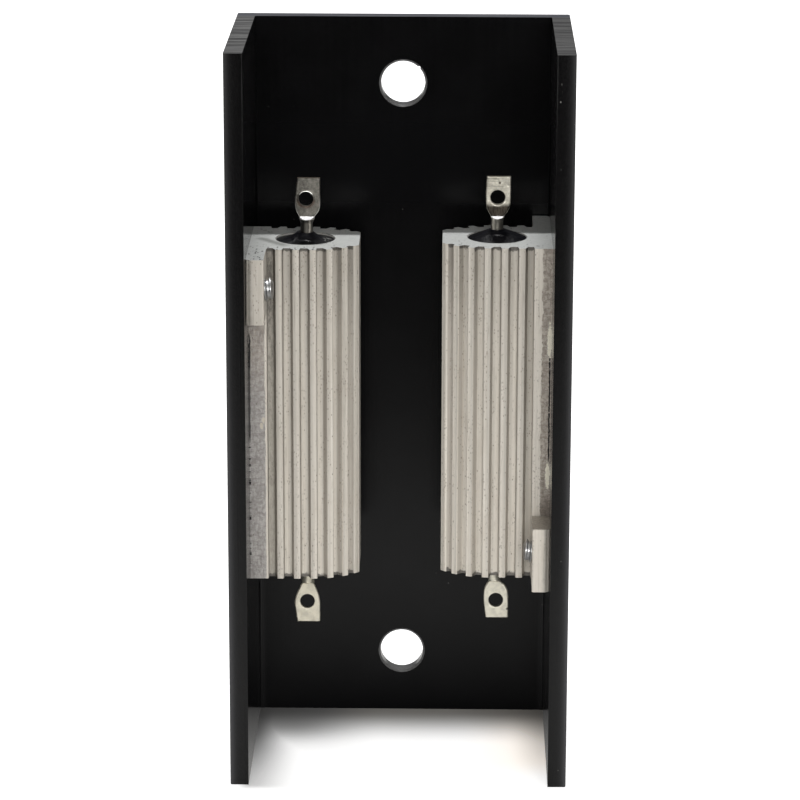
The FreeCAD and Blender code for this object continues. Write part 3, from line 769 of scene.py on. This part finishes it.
def make_thread(side, position, material):
    """One turned ridge round a screw's free end, fading out at both ends."""
    low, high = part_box("%s_%s_screw" % (side, position))
    middle = (low + high) / 2
    inward = 1.0 if side == "left" else -1.0
    tip = high.x if side == "left" else low.x
    start = tip - inward * thread_start * MM
    first_angle = 0.6 if position == "front" else 2.1
    root = thread_root - thread_sink
    count = int(thread_steps * (thread_length / thread_pitch))
    mesh = bpy.data.meshes.new("thread")
    shape = bmesh.new()
    rows = []
    for i in range(count + 1):
        angle = 2 * math.pi * i / thread_steps + first_angle
        along = thread_length * i / count
        fade = min(1.0, i / fade_in, (count - i) / fade_out)
        crest = thread_root + max(0.04, fade) * (thread_crest - thread_root)
        row = []
        for radius, shift in ((root, -thread_foot), (crest, -thread_flat),
                              (crest, thread_flat), (root, thread_foot)):
            x = start + inward * (along + shift * max(0.25, fade)) * MM
            x = min(x, tip) if side == "left" else max(x, tip)
            row.append(shape.verts.new((x, middle.y + radius * math.cos(angle) * MM,
                                        middle.z + radius * math.sin(angle) * MM)))
        rows.append(row)
    for a, b in zip(rows, rows[1:]):
        for k in range(4):
            shape.faces.new((a[k], a[(k + 1) % 4], b[(k + 1) % 4], b[k]))
    shape.faces.new(rows[0])
    shape.faces.new(reversed(rows[-1]))
    bmesh.ops.recalc_face_normals(shape, faces=shape.faces)
    shape.to_mesh(mesh)
    shape.free()
    piece = bpy.data.objects.new("%s_%s_screw_thread" % (side, position), mesh)
    scene.collection.objects.link(piece)
    mesh.materials.append(material)
    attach(piece, "root")


def plane(name, shader, size, height):
    mesh = bpy.data.meshes.new(name)
    shape = bmesh.new()
    bmesh.ops.create_grid(shape, x_segments=8, y_segments=8, size=size)
    for vertex in shape.verts:
        vertex.co.z = height
    shape.to_mesh(mesh)
    shape.free()
    made = bpy.data.objects.new(name, mesh)
    scene.collection.objects.link(made)
    mesh.materials.append(shader.material)
    return made


def make_floor():
    """White ground that glows a little, with a painted shadow inside the channel towards its web and beside
    the flanges.
    """
    s = Shader("floor_white")
    x, y = s.parts(s.point)[:2]
    inside = s.product(s.fall(s.absolute(x), 22.0, 24.0), s.fall(y, 15.5, 17.5))
    # Painted shadow: the glow falls away towards the web, and beside the flanges
    glow = s.ramp(y, 14.0, -1.0, 0.03, 1.0)
    left = s.product(s.ramp(x, -14.0, -23.0), s.ramp(y, -22.0, 6.0, 0.5, 0.95), s.ramp(y, -20.0, -17.8))
    left = s.larger(left, s.product(s.ramp(x, -2.0, -17.0), s.ramp(y, -6.0, 8.0), 0.7))
    right = s.product(s.ramp(x, 16.0, 23.0), s.ramp(y, -20.0, 8.0, 0.05, 0.6))
    glow = s.product(glow, s.minus(1.0, s.larger(left, right)))
    strength = s.plus(s.product(inside, glow), s.minus(1.0, inside))
    warm = s.product(inside, s.ramp(x, 8.0, 20.0), s.ramp(y, -15.0, -7.0))
    paint = s.mix(s.noise(s.point, 0.01, 2.0, 0.5), grey(0.93), grey(0.95))
    paint = s.lay(paint, (0.95, 0.9, 0.84), warm)
    # The painted shadow's colour, darker on the left
    shade = s.mix(s.ramp(x, -2.0, -14.0), (0.36, 0.345, 0.32), grey(0.18))
    s.set(Base_Color=s.lay(paint, shade, inside, s.minus(1.0, glow)), Roughness=0.9, Specular_IOR_Level=0.1,
          Emission_Color=s.mix(warm, grey(1.0), (1.0, 0.93, 0.86)),
          Emission_Strength=s.product(strength, 0.8))
    floor = plane("floor", s, 3.0, 0.0)
    floor.visible_glossy = False


def make_card():
    """What glossy faces see of the lit ground: bright just in front of the part, dark further off."""
    s = Shader("ground_card")
    y = s.parts(s.point)[1]
    # Each level's place is its distance in front of the web, in millimetres; the ramp starts behind it
    levels = ((-10.0, 0.6), (-4.0, 0.6), (-3.0, 0.03), (0.0, 0.05), (12.0, 0.13), (34.0, 0.34), (54.0, 0.46),
              (82.0, 0.54), (125.0, 0.42), (176.0, 0.23), (235.0, 0.13), (330.0, 0.045), (450.0, 0.02))
    web, before, span = 15.0, 10.0, 510.0
    bands = s.add("ShaderNodeValToRGB")
    s.feed(bands.inputs[0], s.divided(s.plus(s.minus(web, y), before), span))
    fill_ramp(bands.color_ramp, [((distance + before) / span, (level, level * 0.99, level * 0.97))
                                 for distance, level in levels])
    s.set(Base_Color=opaque(grey(0.0)), Roughness=1.0, Specular_IOR_Level=0.0,
          Emission_Color=bands.outputs["Color"], Emission_Strength=1.4)
    card = plane("ground_card", s, 1.5, -0.0002)
    card.visible_camera = False
    card.visible_diffuse = False
    card.visible_shadow = False
    card.visible_transmission = False


def area_light(name, place, aim, size, power, tint=(1.0, 1.0, 1.0)):
    data = bpy.data.lights.new(name, "AREA")
    data.shape = "RECTANGLE"
    data.size, data.size_y = size
    data.energy = power
    data.color = tint
    light = bpy.data.objects.new(name, data)
    light.location = place
    direction = Vector(aim) - Vector(place)
    light.rotation_euler = direction.to_track_quat("-Z", "Y").to_euler()
    scene.collection.objects.link(light)
    return light


def make_lights():
    area_light("key_overhead", (0.0, 0.412, 1.05), (0.0, 0.0, 0.07), (0.30, 0.03), 8.4)
    area_light("front_fill", (0.1, -1.0, 0.42), (0.0, 0.0, 0.06), (0.7, 0.4), 6.8, (1.0, 0.985, 0.96))
    # A wide card overhead that only shiny faces show
    glint = area_light("glint_card", (0.0, -0.18, 1.05), (0.0, 0.0, 0.08), (0.3, 0.24), 0.9)
    glint.visible_diffuse = False


def make_world():
    """Soft grey surroundings, darkest at the horizon."""
    world = bpy.data.worlds.new("soft_white")
    world.use_nodes = True
    tree = world.node_tree
    where = tree.nodes.new("ShaderNodeTexCoord")
    split = tree.nodes.new("ShaderNodeSeparateXYZ")
    tree.links.new(where.outputs["Generated"], split.inputs[0])
    bands = tree.nodes.new("ShaderNodeValToRGB")
    shift = tree.nodes.new("ShaderNodeMapRange")
    shift.inputs["From Min"].default_value = -1.0
    shift.inputs["From Max"].default_value = 1.0
    tree.links.new(split.outputs[2], shift.inputs["Value"])
    tree.links.new(shift.outputs[0], bands.inputs[0])
    levels = ((-1.0, 0.05), (0.0, 0.03), (0.25, 0.12), (1.0, 0.13))
    fill_ramp(bands.color_ramp, [((height + 1.0) / 2, grey(level)) for height, level in levels])
    tree.links.new(bands.outputs["Color"], tree.nodes["Background"].inputs["Color"])
    tree.nodes["Background"].inputs["Strength"].default_value = 1.0
    scene.world = world


def make_camera():
    data = bpy.data.cameras.new("camera")
    data.sensor_width = sensor_mm
    data.lens = sensor_mm * focal_pixels / picture_pixels
    data.clip_start = 0.01
    data.clip_end = 20.0
    camera = bpy.data.objects.new("camera", data)
    camera.location = (0.008173, -0.512568, 0.194875)
    camera.rotation_euler = Euler([math.radians(a) for a in (74.66095, -0.13791, 0.96483)], "XYZ")
    scene.collection.objects.link(camera)
    scene.camera = camera


def dress_part():
    """Gives every CAD node its material, and the screws their threads."""
    wear("channel", anodised_channel())
    steel = screw_steel()
    wire = hidden_metal("resistance_wire", (0.34, 0.32, 0.29), (0.24, 0.22, 0.2))
    cup = hidden_metal("cap_steel", (0.55, 0.54, 0.5), (0.42, 0.41, 0.38))
    rod = ceramic()
    for side in ("left", "right"):
        wear(side + "_housing", housing_alloy(side))
        wear(side + "_moulding", moulding_compound(side))
        for end in ("top", "bottom"):
            terminal = "%s_%s_terminal" % (side, end)
            wear(terminal, tinned_terminal(terminal))
            wear("%s_%s_cap" % (side, end), cup)
        wear(side + "_core", rod)
        wear(side + "_winding", wire)
        for position in ("front", "rear"):
            wear("%s_%s_screw" % (side, position), steel)
            make_thread(side, position, steel.material)


dress_part()
make_floor()
make_card()
make_lights()
make_world()
make_camera()
scene.view_settings.view_transform = "Standard"
